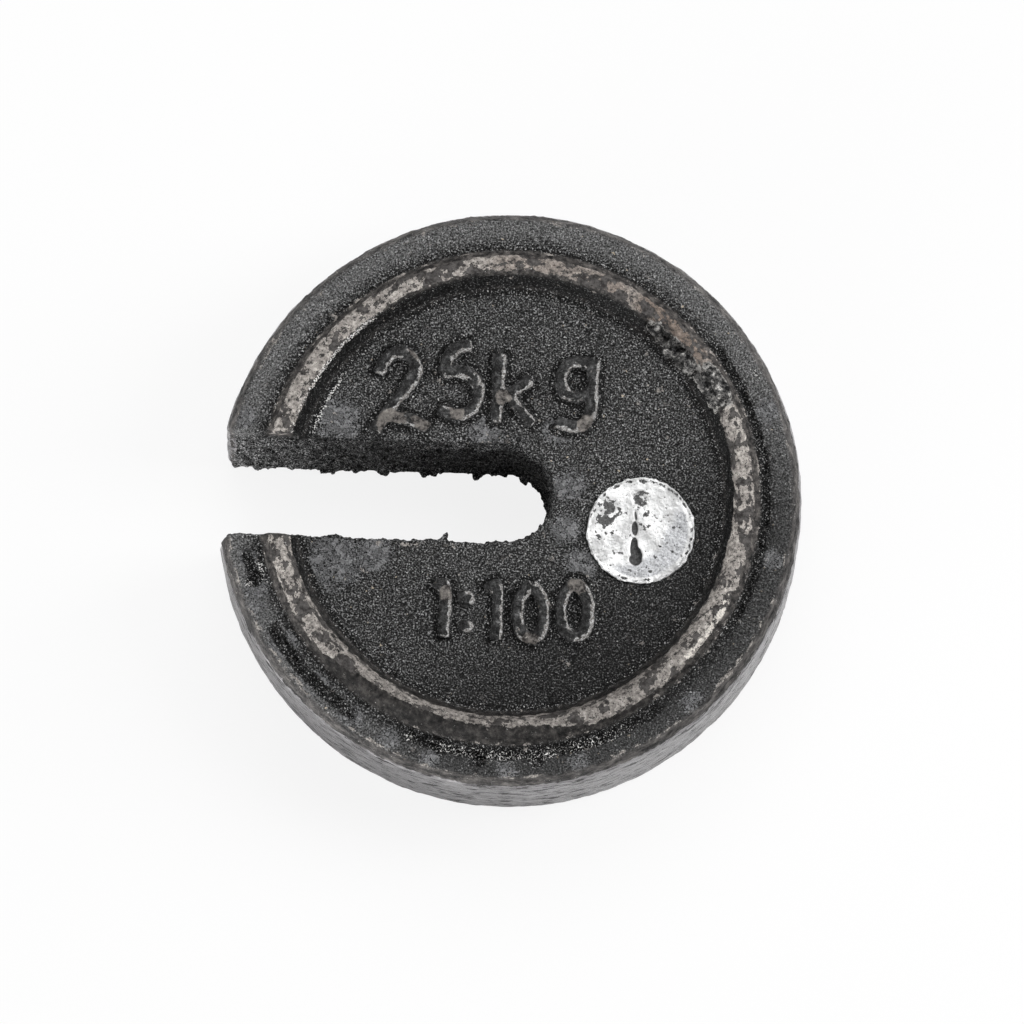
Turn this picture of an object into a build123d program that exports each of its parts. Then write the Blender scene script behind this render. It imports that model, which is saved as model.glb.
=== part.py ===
from build123d import *
import math
import os

# Slotted counterpoise weight for a platform scale with a steelyard beam, in millimetres.
# The disc lies on its flat base. +Z is the disc's axis, the hanger slot runs along X and
# opens towards -X, and the origin is where the axis meets the base.

# Disc
disc_diameter = 55.0
shoulder_height = 13.8  # from the base to the ledge outside the raised ring
side_draft = 1.0  # degrees; the side leans in towards the base
base_bevel = 0.8
section_clearance = 1.2  # the turned section stands outside the drafted side by this much
edge_round_width = 1.1  # the upper edge curves in by this much
edge_round_height = 2.8  # and starts this far down the side

# Raised ring
ring_foot_radius = 23.7  # outer foot, on the shoulder
ring_rise = 1.2  # crest above the shoulder
outer_flank_width = 0.6  # seen from above
crest_width = 1.7
inner_flank_width = 1.2
crest_round = 0.9

# Recessed field inside the ring
field_drop = 1.0  # below the shoulder

# Hanger slot
slot_width = 9.5  # between the walls, at the field
slot_reach = 4.25  # how far past the axis the round end goes, at the field
slot_shift = 0.62  # the slot's middle stands this far to the +Y side of the axis
slot_draft = 3.0  # degrees; the slot is narrower at the base
mouth_round = 1.3  # upright corners where the slot leaves the disc
slot_edge_bevel = 0.3  # along the slot's upper edge, on the field

# Adjusting cavity, a blind hole that holds the trimming shot
cavity_x = 12.5
cavity_y = -2.6
chamber_diameter = 7.6
chamber_depth = 5.5

# Sealing plug and its seat, a counterbore undercut like a dovetail
plug_diameter = 10.0  # at the field
plug_depth = 1.8
undercut = 0.3  # the seat is wider at its bottom by this much on each side
plug_gap = 0.01  # between the plug and the wall of its seat
rim_rise = 0.28  # burred rim of the hammered plug, above the field
rim_width = 0.35
rim_flank = 0.1  # the rim's outer side leans in by this much
dish_drop = 0.12  # the hammered face lies this far below the rim

# Chisel cut across the plug's face, sharp at both ends and widest near one of them
cut_offset = -0.45  # from the plug's axis, along X
cut_start = 2.0  # along Y, from the plug's axis
cut_middle = -2.3  # where it is widest
cut_end = -3.5
cut_width = 1.2
cut_tip_width = 0.2
cut_lean = 50.0  # degrees, between each wall of the cut and upright

# Trimming shot, cut from lead wire
shot_diameter = 3.0
shot_length = 2.7
shot_gap = 0.01

disc_radius = disc_diameter / 2
field_height = shoulder_height - field_drop
crest_height = shoulder_height + ring_rise
blank_height = crest_height + ring_rise
seat_floor = field_height - plug_depth
chamber_floor = seat_floor - chamber_depth
face_height = field_height + rim_rise - dish_drop
cavity_place = Pos(cavity_x, cavity_y, 0)


def corners_at(section, *points):
    """The section's corners that lie on the given points."""
    return [v for v in section.vertices() for p in points if math.dist((v.X, v.Y), p) < 1e-4]


def side_lean(height):
    """How much wider the drafted side is at a height than at the base."""
    return height * math.tan(math.radians(side_draft))


def turned_section():
    """Half section of what bounds the disc above and at its edges; its sides stand clear of the draft."""
    widest = shoulder_height - edge_round_height
    base_radius = disc_radius - side_lean(widest)
    side_foot = (base_radius + section_clearance, base_bevel + section_clearance)
    shoulder_edge = (disc_radius - edge_round_width, shoulder_height)
    ring_foot = (ring_foot_radius, shoulder_height)
    crest_outside = (ring_foot_radius - outer_flank_width, crest_height)
    crest_inside = (crest_outside[0] - crest_width, crest_height)
    field_edge = (crest_inside[0] - inner_flank_width, field_height)

    side = Line(side_foot, (disc_radius, widest))
    worn_edge = TangentArc(side @ 1, shoulder_edge, tangent=side % 1)
    top = Polyline(shoulder_edge, ring_foot, crest_outside, crest_inside, field_edge, (0, field_height))
    base = Polyline((0, field_height), (0, 0), (base_radius - base_bevel, 0), side_foot)
    section = make_face([side, worn_edge, *top.edges(), *base.edges()])
    return fillet(corners_at(section, crest_outside, crest_inside), crest_round)


def slot_cutter():
    """The hanger slot as a solid: round at one end, open at the other, narrowing downwards."""
    lean = math.tan(math.radians(slot_draft))
    low = slot_width / 2 - field_height * lean
    high = low + blank_height * lean
    across = Polyline((-low, 0), (low, 0), (high, blank_height), (-high, blank_height), close=True)
    channel = extrude(Plane.YZ * make_face(across), -disc_diameter)
    end = Pos(0, 0, blank_height / 2) * Cone(low, high, blank_height)
    return Pos(slot_reach - slot_width / 2, slot_shift, 0) * (channel + end)


def slotted_blank():
    """A plain drafted blank, taller than the disc, with the slot and its rounded mouth."""
    base_radius = disc_radius - side_lean(shoulder_height - edge_round_height)
    top_radius = base_radius + side_lean(blank_height)
    blank = Pos(0, 0, blank_height / 2) * Cone(base_radius, top_radius, blank_height)
    blank -= slot_cutter()
    mouth = [e for e in blank.edges() if e.length >= blank_height and (e @ 0.5).X < 0]
    return fillet([e for e in mouth if abs((e % 0.5).Z) > 0.9], mouth_round)


def slot_rim(disc):
    """The slot's edges on the field: two straight runs and the round end."""
    rim = []
    for edge in disc.edges():
        middle = edge @ 0.5
        on_field = abs(middle.Z - field_height) < 0.01
        beside_slot = abs(middle.Y - slot_shift) < slot_width / 2 + 0.1
        if on_field and beside_slot and middle.X < slot_reach + 0.1 and edge.length > slot_width:
            rim.append(edge)
    return rim


def plug_body(gap):
    """The dovetailed body that fills the seat up to the field, less a gap at the wall."""
    mouth = plug_diameter / 2 - gap
    outline = Polyline(
        (0, seat_floor),
        (mouth + undercut, seat_floor),
        (mouth, field_height),
        (0, field_height),
        close=True,
    )
    return revolve(Plane.XZ * make_face(outline), Axis.Z)


def cavity_cutter():
    """The adjusting chamber and, above it, the undercut seat of the plug."""
    chamber = extrude(Pos(0, 0, seat_floor) * Circle(chamber_diameter / 2), -chamber_depth)
    return cavity_place * (chamber + plug_body(0))


def weight_casting():
    """The iron disc with its ring, field, hanger slot and adjusting cavity."""
    disc = slotted_blank() & revolve(Plane.XZ * turned_section(), Axis.Z)
    disc = chamfer(slot_rim(disc), slot_edge_bevel)
    return disc - cavity_cutter()


def chisel_cut():
    """A cut with leaning walls, made by one blow, as a solid to take from the plug's face."""
    lean = math.tan(math.radians(cut_lean))
    above = rim_rise
    sections = []
    for y, width in ((cut_start, cut_tip_width), (cut_middle, cut_width), (cut_end, cut_tip_width)):
        half = width / 2
        corners = [(0, -half / lean), (half + above * lean, above), (-half - above * lean, above)]
        wedge = Polyline(*corners, close=True)
        place = Plane(origin=(cut_offset, y, face_height), x_dir=(1, 0, 0), z_dir=(0, -1, 0))
        sections.append(place * make_face(wedge))
    return loft(sections, ruled=True)


def sealing_plug():
    """Soft metal hammered into the seat, with a burred rim, a dished face and a chisel cut."""
    mouth = plug_diameter / 2 - plug_gap
    top = field_height + rim_rise
    outline = Polyline(
        (0, field_height),
        (mouth, field_height),
        (mouth - rim_flank, top),
        (mouth - rim_width, face_height),
        (0, face_height),
        close=True,
    )
    head = revolve(Plane.XZ * make_face(outline), Axis.Z)
    return cavity_place * (plug_body(plug_gap) + head - chisel_cut())


def adjusting_shot():
    """Short lengths of lead wire, upright in layers round the chamber, each layer turned half a step."""
    pitch = shot_diameter + shot_gap
    ring = (chamber_diameter - pitch) / 2 - shot_gap
    count = int(math.pi / math.asin(pitch / 2 / ring))
    layers = int(chamber_depth / (shot_length + shot_gap))
    shot = []
    for layer in range(layers):
        height = chamber_floor + shot_gap + shot_length / 2 + layer * (shot_length + shot_gap)
        turned = Rot(0, 0, layer * 180 / count)
        for place in PolarLocations(ring, count):
            piece = Cylinder(shot_diameter / 2, shot_length)
            shot.append(cavity_place * turned * Pos(0, 0, height) * place * piece)
    return Compound(children=shot)


def write(node, shape):
    """Write one sub-part as parts/NODE.step and print its size."""
    export_step(shape, f"parts/{node}.step")
    print(node, "solids", len(shape.solids()), "volume", round(shape.volume, 1), shape.bounding_box())


os.makedirs("parts", exist_ok=True)
write("weight_casting", weight_casting())
write("sealing_plug", sealing_plug())
write("adjusting_shot", adjusting_shot())
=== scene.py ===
# %% [markdown]
# # A slotted iron counterpoise weight
#
# The weight is a small iron disc, 55 mm across, cast in sand, with a slot that slides over the
# stem of a scale's hanger. A plug of soft bright metal closes the hole where its mass was
# trimmed. The construction model already holds the true sizes. This file loads it as a fixed
# frame and gives it the look of the real thing: sand grain, worn paint, and a hammered plug.

# %% Load the frame
import math
import random

import bpy
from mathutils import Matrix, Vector
from mathutils.kdtree import KDTree


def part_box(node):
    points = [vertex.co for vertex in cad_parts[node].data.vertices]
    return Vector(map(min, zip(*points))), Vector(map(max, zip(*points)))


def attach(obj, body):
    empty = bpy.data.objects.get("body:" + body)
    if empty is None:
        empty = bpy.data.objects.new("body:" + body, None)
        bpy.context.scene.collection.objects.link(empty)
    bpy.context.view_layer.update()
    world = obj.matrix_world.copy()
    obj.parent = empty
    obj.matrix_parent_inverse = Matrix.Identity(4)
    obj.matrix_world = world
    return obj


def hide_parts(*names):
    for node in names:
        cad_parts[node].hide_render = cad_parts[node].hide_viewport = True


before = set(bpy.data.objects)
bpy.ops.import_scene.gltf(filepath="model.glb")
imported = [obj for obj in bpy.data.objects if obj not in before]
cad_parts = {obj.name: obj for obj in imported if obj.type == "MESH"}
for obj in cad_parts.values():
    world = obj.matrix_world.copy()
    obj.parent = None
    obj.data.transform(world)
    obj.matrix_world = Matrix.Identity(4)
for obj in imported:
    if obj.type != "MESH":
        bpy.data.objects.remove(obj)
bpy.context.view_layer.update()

MM = 0.001
disc_low, disc_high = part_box("weight_casting")
plug_low, plug_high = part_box("sealing_plug")
print("disc", disc_low, disc_high)

# %% [markdown]
# ## The camera
#
# The photograph looks down at the lettered face, tilted a little so that the near side of the
# disc shows. A long lens from some way off keeps the circle nearly a true ellipse. The lens
# follows from one measured scale, in pixels to the millimetre, and the camera's distance.

# %% Camera
PICTURE_SIDE = 1024
PIXELS_PER_MM = 10.62
AXIS_PIXEL = (509.0, 497.8)  # where the disc's axis meets the shoulder's level
SHOULDER = 13.8 * MM
CAMERA_DISTANCE = 2.0
CAMERA_TILT = math.radians(10.5)  # from straight above, towards -Y
CAMERA_TURN = math.radians(1.9)  # about the disc's axis
SENSOR = 36.0


def camera_axes(tilt, turn):
    """The camera's right, up and backward directions in the frame."""
    right = Vector((math.cos(turn), math.sin(turn), 0))
    ahead = Vector((-math.sin(turn), math.cos(turn), 0))
    back = Vector((0, 0, 1)) * math.cos(tilt) - ahead * math.sin(tilt)
    return right, back.cross(right), back


def add_camera():
    right, up, back = camera_axes(CAMERA_TILT, CAMERA_TURN)
    middle = PICTURE_SIDE / 2
    across = (middle - AXIS_PIXEL[0]) / PIXELS_PER_MM * MM
    above = (AXIS_PIXEL[1] - middle) / PIXELS_PER_MM * MM
    aim = Vector((0, 0, SHOULDER)) + right * across + up * above
    bpy.ops.object.camera_add(location=aim + back * CAMERA_DISTANCE)
    camera = bpy.context.object
    camera.rotation_euler = back.to_track_quat("Z", "Y").to_euler()
    camera.rotation_euler.z += CAMERA_TURN - camera.rotation_euler.z
    camera.data.sensor_width = SENSOR
    camera.data.lens = PIXELS_PER_MM / MM * CAMERA_DISTANCE / PICTURE_SIDE * SENSOR
    camera.data.clip_start = 0.01
    bpy.context.scene.camera = camera
    return camera


camera = add_camera()
print("camera", camera.location, camera.rotation_euler, "lens", round(camera.data.lens, 1))

# %% [markdown]
# ## Helpers for modelling by hand
#
# An operator acts on whatever is selected, so each step first picks its faces or edges by
# their place. These few helpers do that, and apply a modifier once it is set.

# %% Selection and modifier helpers
def alone(piece):
    """Make a piece the only selected object, and the active one."""
    if bpy.context.object and bpy.context.object.mode != "OBJECT":
        bpy.ops.object.mode_set(mode="OBJECT")
    bpy.ops.object.select_all(action="DESELECT")
    piece.select_set(True)
    bpy.context.view_layer.objects.active = piece
    return piece


def pick_faces(piece, chosen):
    """Open edit mode with only the faces selected whose centre and normal pass a test."""
    alone(piece)
    bpy.ops.object.mode_set(mode="EDIT")
    bpy.ops.mesh.select_mode(type="FACE")
    bpy.ops.mesh.select_all(action="DESELECT")
    bpy.ops.object.mode_set(mode="OBJECT")
    for face in piece.data.polygons:
        face.select = bool(chosen(face.center, face.normal))
    bpy.ops.object.mode_set(mode="EDIT")


def apply_modifier(piece, kind, **settings):
    """Add a modifier, set it and apply it."""
    alone(piece)
    modifier = piece.modifiers.new(kind.lower(), kind)
    for name, value in settings.items():
        setattr(modifier, name, value)
    bpy.ops.object.modifier_apply(modifier=modifier.name)


def cut_away(piece, cutter):
    """Take a cutter's shape out of a piece, and remove the cutter."""
    apply_modifier(piece, "BOOLEAN", object=cutter, operation="DIFFERENCE", solver="EXACT")
    bpy.data.objects.remove(cutter)


# %% [markdown]
# ## The disc
#
# The pattern for the casting was turned on a lathe, so it is built the same way: a drafted
# cylinder whose top face is stepped inwards and up or down, ring by ring, round the profile.
# Each step is an extrusion followed by a scaling about the axis.

# %% Turn the disc
FIELD = 12.8 * MM
CREST = disc_high.z
DISC_RADIUS = disc_high.x + 0.06 * MM  # the later smoothing takes this much off
SIDES = 256

PROFILE = [
    (DISC_RADIUS - 0.9 * MM, 0.0),
    (DISC_RADIUS - 0.45 * MM, 0.35 * MM),
    (DISC_RADIUS - 0.2 * MM, 1.0 * MM),
    (DISC_RADIUS, 11.4 * MM),
    (DISC_RADIUS - 0.08 * MM, 12.4 * MM),
    (DISC_RADIUS - 0.35 * MM, 13.2 * MM),
    (DISC_RADIUS - 0.65 * MM, 13.62 * MM),
    (DISC_RADIUS - 1.05 * MM, SHOULDER),
    (23.8 * MM, SHOULDER),
    (23.45 * MM, SHOULDER + 0.40 * MM),
    (23.1 * MM, CREST - 0.40 * MM),
    (22.7 * MM, CREST - 0.12 * MM),
    (22.2 * MM, CREST),
    (21.75 * MM, CREST - 0.08 * MM),
    (21.4 * MM, CREST - 0.40 * MM),
    (21.0 * MM, CREST - 1.05 * MM),
    (20.6 * MM, CREST - 1.75 * MM),
    (20.2 * MM, FIELD),
]


def turn_profile(name, profile, sides):
    """A solid of revolution, raised step by step from a flat-topped cone."""
    (low_radius, low), (radius, height) = profile[0], profile[1]
    bpy.ops.mesh.primitive_cone_add(
        vertices=sides,
        radius1=low_radius,
        radius2=radius,
        depth=height - low,
        location=(0, 0, (height + low) / 2),
    )
    piece = bpy.context.object
    piece.name = name
    bpy.ops.object.transform_apply(location=True, rotation=True, scale=True)
    pick_faces(piece, lambda centre, normal: normal.z > 0.99)
    for next_radius, next_height in profile[2:]:
        rise = (0, 0, next_height - height)
        bpy.ops.mesh.extrude_region_move(TRANSFORM_OT_translate={"value": rise})
        share = next_radius / radius
        bpy.ops.transform.resize(value=(share, share, 1), center_override=(0, 0, next_height))
        radius, height = next_radius, next_height
    bpy.ops.object.mode_set(mode="OBJECT")
    return piece


casting = turn_profile("weight_casting_dressed", PROFILE, SIDES)
print("disc", len(casting.data.polygons), "faces", [round(v / MM, 2) for v in casting.dimensions])

# %% [markdown]
# ## The hanger slot and the plug's seat
#
# On the pattern the slot was a loose core: a tapered bar with a round end, which flares where
# it leaves the disc. A cone gives the round end, half of its wall is drawn out into the bar,
# and the last few steps widen the bar along a quarter circle, so that the cut leaves rounded
# corners at the mouth. The seat and the blind chamber below it are turned like the disc.

# %% Cut the slot
SLOT_WIDTH = 9.5 * MM
SLOT_REACH = 4.25 * MM
SLOT_SHIFT = 0.62 * MM
SLOT_DRAFT = math.radians(3.0)
MOUTH_ROUND = 1.3 * MM
MOUTH_WALL = -26.97 * MM  # where the slot's walls meet the disc's side
CUTTER_LOW = -1.0 * MM
CUTTER_HIGH = 17.0 * MM
FLARE_STEPS = 6


def slot_half_width(height):
    return SLOT_WIDTH / 2 + (height - FIELD) * math.tan(SLOT_DRAFT)


def slot_cutter():
    """A tapered bar with one round end and a flared mouth."""
    centre_x = SLOT_REACH - SLOT_WIDTH / 2
    bpy.ops.mesh.primitive_cone_add(
        vertices=96,
        radius1=slot_half_width(CUTTER_LOW),
        radius2=slot_half_width(CUTTER_HIGH),
        depth=CUTTER_HIGH - CUTTER_LOW,
        location=(centre_x, SLOT_SHIFT, (CUTTER_HIGH + CUTTER_LOW) / 2),
    )
    cutter = bpy.context.object
    bpy.ops.object.transform_apply(location=True, rotation=True, scale=True)
    pick_faces(cutter, lambda centre, normal: abs(normal.z) < 0.5 and centre.x < centre_x)
    place, half = centre_x, SLOT_WIDTH / 2
    for step in range(FLARE_STEPS + 1):
        angle = math.pi / 2 * step / FLARE_STEPS
        next_place = MOUTH_WALL + MOUTH_ROUND * (1 - math.sin(angle))
        next_half = SLOT_WIDTH / 2 + MOUTH_ROUND * (1 - math.cos(angle))
        draw_out(next_place - place, next_half / half)
        place, half = next_place, next_half
    draw_out(-8 * MM, 1)
    bpy.ops.object.mode_set(mode="OBJECT")
    return cutter


def draw_out(run, share):
    """Extrude the picked faces along X, then widen them about the slot's middle."""
    bpy.ops.mesh.extrude_region_move(TRANSFORM_OT_translate={"value": (run, 0, 0)})
    bpy.ops.transform.resize(value=(1, share, 1), center_override=(0, SLOT_SHIFT, 0))


cut_away(casting, slot_cutter())
print("slot cut,", len(casting.data.polygons), "faces")

# %% Cut the seat and the chamber
PLUG_PLACE = ((plug_low + plug_high) / 2).to_2d()
PLUG_DEPTH = 1.8 * MM
SEAT_FLOOR = FIELD - PLUG_DEPTH
SEAT_MOUTH = 5.0 * MM
SEAT_SLACK = 0.06 * MM  # left round the plug, which is hammered tight on the real weight
UNDERCUT = 0.3 * MM
CHAMBER_RADIUS = 3.8 * MM
CHAMBER_FLOOR = SEAT_FLOOR - 5.5 * MM


def move_piece(piece, x, y):
    alone(piece)
    piece.location = (x, y, 0)
    bpy.ops.object.transform_apply(location=True, rotation=True, scale=True)


SEAT_PROFILE = [
    (CHAMBER_RADIUS, CHAMBER_FLOOR),
    (CHAMBER_RADIUS, SEAT_FLOOR),
    (SEAT_MOUTH + UNDERCUT + SEAT_SLACK, SEAT_FLOOR),
    (SEAT_MOUTH + SEAT_SLACK, FIELD),
    (SEAT_MOUTH + SEAT_SLACK, CREST),
]
seat = turn_profile("seat_cutter", SEAT_PROFILE, 96)
move_piece(seat, *PLUG_PLACE)
cut_away(casting, seat)
print("seat cut at", [round(v / MM, 2) for v in PLUG_PLACE])

# %% [markdown]
# ## The raised marks
#
# The real marks were cut into the sand by hand, so their strokes are soft ridges of uneven
# width, and no two letters line up. The maker's words are left off. In their place are the
# plain value and the lever's ratio. Each stroke is a curve with a round section, half sunk in
# the field, whose radius swells and thins along it.

# %% Strokes of the marks
STROKE_RADIUS = 0.62 * MM
STROKE_SINK = 0.18 * MM  # the middle of the section stands this far above the field

GLYPHS = {
    "two": [
        [(0.3, 5.2), (1.0, 6.9), (2.4, 7.5), (3.7, 6.7), (3.9, 5.2), (2.6, 3.3), (1.0, 1.3), (0.0, -0.4)],
        [(0.7, 1.2), (2.2, 1.1), (3.8, 0.9), (5.1, 0.1)],
    ],
    "five": [
        [(3.0, 7.4), (1.6, 7.2), (0.9, 6.3), (0.4, 4.5)],
        [(0.4, 4.7), (2.0, 5.1), (3.6, 4.1), (4.0, 2.5), (3.1, 0.9), (1.5, 0.6), (0.1, 1.2)],
    ],
    "kilo": [
        [(0.5, 7.2), (0.6, 4.0), (0.4, 0.1)],
        [(3.7, 4.7), (2.1, 3.4), (0.6, 2.5)],
        [(1.5, 3.1), (2.6, 1.6), (4.1, 0.1)],
    ],
    "gram": [
        [(3.5, 4.6), (1.9, 5.1), (0.5, 3.8), (0.7, 2.0), (2.2, 1.3), (3.4, 2.2)],
        [(3.6, 5.1), (3.6, 2.2), (3.5, -0.6), (1.9, -1.5), (0.3, -0.9)],
    ],
    "one": [[(0.0, 4.6), (0.9, 5.7), (1.0, 3.0), (0.9, 0.0)]],
    "nought": [[(1.5, 5.6), (0.2, 4.4), (0.3, 1.2), (1.6, 0.0), (2.9, 1.2), (2.8, 4.5), (1.5, 5.6)]],
}
MARKS = [
    ("two", -13.0, 6.4, 1.0),
    ("five", -7.0, 7.2, 1.0),
    ("kilo", -1.8, 7.1, 0.94),
    ("gram", 3.9, 8.4, 1.02),
    ("one", -6.6, -13.4, 0.98),
    ("one", -1.7, -13.5, 1.02),
    ("nought", 0.9, -13.6, 0.98),
    ("nought", 5.0, -13.3, 1.0),
]
COLON = [(-3.7, -9.6), (-3.6, -12.3)]


def add_stroke(points, place_x, place_y, size):
    """One ridge of a mark, as a mesh tube that swells in its middle."""
    curve = bpy.data.curves.new("stroke", "CURVE")
    curve.dimensions = "3D"
    curve.bevel_depth = STROKE_RADIUS
    curve.bevel_resolution = 4
    curve.use_fill_caps = True
    curve.resolution_u = 8
    line = curve.splines.new("NURBS")
    line.points.add(len(points) - 1)
    for number, (x, y) in enumerate(points):
        height = FIELD + STROKE_SINK
        line.points[number].co = (place_x + x * size * MM, place_y + y * size * MM, height, 1)
        line.points[number].radius = random.uniform(0.88, 1.14)
    line.order_u = min(3, len(points))
    line.use_endpoint_u = True
    stroke = bpy.data.objects.new("stroke", curve)
    bpy.context.collection.objects.link(stroke)
    alone(stroke)
    bpy.ops.object.convert(target="MESH")
    return bpy.context.object


random.seed(25)
strokes = []
for name, x, y, size in MARKS:
    for points in GLYPHS[name]:
        strokes.append(add_stroke(points, x * MM, y * MM, size))
outline = [tuple(v.co) for stroke in strokes for v in stroke.data.vertices if v.co.z > FIELD]
print(len(strokes), "strokes,", len(outline), "points above the field")

# %% [markdown]
# ## Casting flaws
#
# Sand that crumbled from the core left lumps of iron along the slot's walls, and sand that
# fell into the mould left notches in the ring. Lumps are small icospheres, pressed out of
# round, and notches are the same shape cut away. The large ones stand where the photograph
# shows them. Small ones are scattered along the slot's lower edges.

# %% Lumps and notches
WALL_LUMPS = [
    (-22.6, -4.0, 11.0, 0.34),
    (-19.3, -4.05, 11.3, 0.32),
    (-16.4, -4.05, 10.9, 0.34),
    (-8.8, -4.0, 11.6, 0.38),
    (-8.0, -4.0, 11.2, 0.36),
    (-6.0, -3.75, 12.1, 0.50),
    (-17.8, 4.65, 0.5, 0.40),
    (-12.1, 4.6, 0.6, 0.50),
    (-8.1, 4.65, 0.5, 0.42),
    (-3.2, 4.6, 0.6, 0.45),
    (1.3, 4.1, 0.6, 0.50),
]
RING_NOTCHES = [
    (12.7, 16.9, 14.6, 0.9),
    (14.2, 15.7, 14.6, 1.1),
    (15.6, 14.4, 14.9, 1.0),
    (16.8, 13.0, 14.7, 1.15),
    (18.3, 11.5, 15.1, 0.9),
    (18.8, 9.9, 14.9, 1.0),
    (19.7, 8.9, 15.3, 0.8),
]
RUBBLE = [
    (13.4, 15.7, 13.3, 0.5),
    (14.6, 14.5, 13.3, 0.5),
    (15.6, 13.4, 13.2, 0.42),
    (16.9, 12.0, 13.3, 0.5),
    (17.9, 10.4, 13.4, 0.4),
    (18.9, 9.0, 13.6, 0.4),
    (12.2, 16.2, 13.1, 0.35),
]
SHOULDER_PITS = [
    (-2.0, -25.1, 14.0, 0.75),
    (3.4, -24.9, 14.0, 0.80),
    (-23.7, -8.5, 14.0, 0.85),
    (-5.6, -24.3, 14.0, 0.5),
]
SCATTERED_LUMPS = 90


def add_lump(x, y, z, radius):
    """A grain of iron or sand, in millimetres, pressed a little out of round."""
    bpy.ops.mesh.primitive_ico_sphere_add(subdivisions=2, radius=radius * MM, location=(x * MM, y * MM, z * MM))
    lump = bpy.context.object
    lump.scale = [random.uniform(0.75, 1.25) for _ in range(3)]
    lump.rotation_euler.z = random.uniform(0, math.pi)
    bpy.ops.object.transform_apply(location=True, rotation=True, scale=True)
    return lump


def scattered_lump():
    """A small lump on one of the slot's walls, most often near the base."""
    side = random.choice((-1, 1))
    x = random.uniform(-25.0, 3.5)
    z = min(random.expovariate(0.5) + 0.3, 10.5)
    half = slot_half_width(z * MM) / MM
    centre_x, centre_y = (SLOT_REACH - SLOT_WIDTH / 2) / MM, SLOT_SHIFT / MM
    reach = max(x - centre_x, 0)
    y = centre_y + side * math.sqrt(max(half ** 2 - reach ** 2, 0.5))
    return add_lump(x, y, z, random.uniform(0.16, 0.42))


random.seed(7)
lumps = [add_lump(*place) for place in WALL_LUMPS + RUBBLE]
lumps += [add_lump(x, y, FIELD / MM + 0.2, 0.75) for x, y in COLON]
lumps += [scattered_lump() for _ in range(SCATTERED_LUMPS)]
notches = [add_lump(*place) for place in RING_NOTCHES + SHOULDER_PITS]
for notch in notches:
    cut_away(casting, notch)
print(len(lumps), "lumps,", len(notches), "notches")

# %% [markdown]
# ## One skin over everything
#
# The disc, strokes and lumps are joined and voxel remeshed, which melts them into one closed
# skin with small soft inner corners, as molten iron leaves them. Sculpted relief could be
# painted by hand here. Displacement does it instead, because it repeats exactly. Vertex groups
# keep each kind of roughness on its own region.

# %% Join and remesh
VOXEL = 0.17 * MM
MOST_TRIANGLES = 190000

alone(casting)
for extra in strokes + lumps:
    extra.select_set(True)
bpy.ops.object.join()
apply_modifier(casting, "REMESH", mode="VOXEL", voxel_size=VOXEL, adaptivity=0)
apply_modifier(casting, "SMOOTH", factor=0.5, iterations=3)
print("skin", len(casting.data.vertices), "points")

# %% Regions of the skin
RING_INNER_FOOT = 20.2 * MM
RING_OUTER_FOOT = 23.7 * MM


def fade(value, start, end):
    """0 before start, 1 after end, and smooth between; start may be the larger."""
    share = min(max((value - start) / (end - start), 0), 1)
    return share * share * (3 - 2 * share)


def slot_depth(point):
    """How far inside the slot's mouth walls a point lies, in metres; negative is in the iron."""
    centre_x = SLOT_REACH - SLOT_WIDTH / 2
    reach = max(point.x - centre_x, 0)
    return slot_half_width(point.z) - math.hypot(reach, point.y - SLOT_SHIFT)


def in_slot(point):
    """The slot's walls, from just above the base to just below the rim."""
    near_wall = fade(slot_depth(point), -0.45 * MM, -0.1 * MM)
    below_rim = fade(point.z, FIELD + 0.1 * MM, FIELD - 0.7 * MM)
    return near_wall * below_rim * fade(point.z, 0, 0.15 * MM)


def on_slot_rim(point):
    """The upper edge of the slot, where the ring and the shoulder end."""
    near_wall = fade(slot_depth(point), -1.6 * MM, -0.5 * MM)
    return near_wall * fade(point.z, FIELD - 0.9 * MM, FIELD + 0.3 * MM)


def on_face(point):
    """The field and the shoulder, but not the ring or the slot."""
    radius = math.hypot(point.x, point.y)
    level = fade(point.z, FIELD - 0.4 * MM, FIELD - 0.1 * MM)
    inside = fade(radius, RING_INNER_FOOT + 0.2 * MM, RING_INNER_FOOT - 0.3 * MM)
    outside = fade(radius, RING_OUTER_FOOT - 0.1 * MM, RING_OUTER_FOOT + 0.3 * MM)
    return level * max(inside, outside)


def on_ring(point):
    radius = math.hypot(point.x, point.y)
    inner = fade(radius, RING_INNER_FOOT - 0.2 * MM, RING_INNER_FOOT + 0.3 * MM)
    outer = fade(radius, RING_OUTER_FOOT + 0.2 * MM, RING_OUTER_FOOT - 0.2 * MM)
    return inner * outer * fade(point.z, FIELD - 0.1 * MM, FIELD + 0.3 * MM)


def on_side(point):
    radius = math.hypot(point.x, point.y)
    return fade(radius, DISC_RADIUS - 0.8 * MM, DISC_RADIUS - 0.4 * MM) * fade(point.z, 0, 0.3 * MM)


def above_base(point):
    return fade(point.z, 0.1 * MM, 0.6 * MM)


PITTED_BANDS = [
    (-112, -52, 24.5, 0.9),
    (-150, -122, 25.4, 1.0),
    (-168, -160, 25.2, 0.8),
    (-30, 40, 24.3, 0.5),
]
BROKEN_BANDS = [
    (37, 53, 21.0, 1.2),
    (25, 36, 22.0, 1.6),
]


def banded(bands, point):
    """The share of the nearest of some bands, each from an angle to an angle, at a radius, half width."""
    angle = math.degrees(math.atan2(point.y, point.x))
    radius = math.hypot(point.x, point.y) / MM
    best = 0
    for start, end, middle, half in bands:
        soft = min(4, (end - start) / 2)
        along = fade(angle, start - soft, start + soft) * fade(angle, end + soft, end - soft)
        best = max(best, along * fade(abs(radius - middle), half, half * 0.4))
    return best


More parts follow.
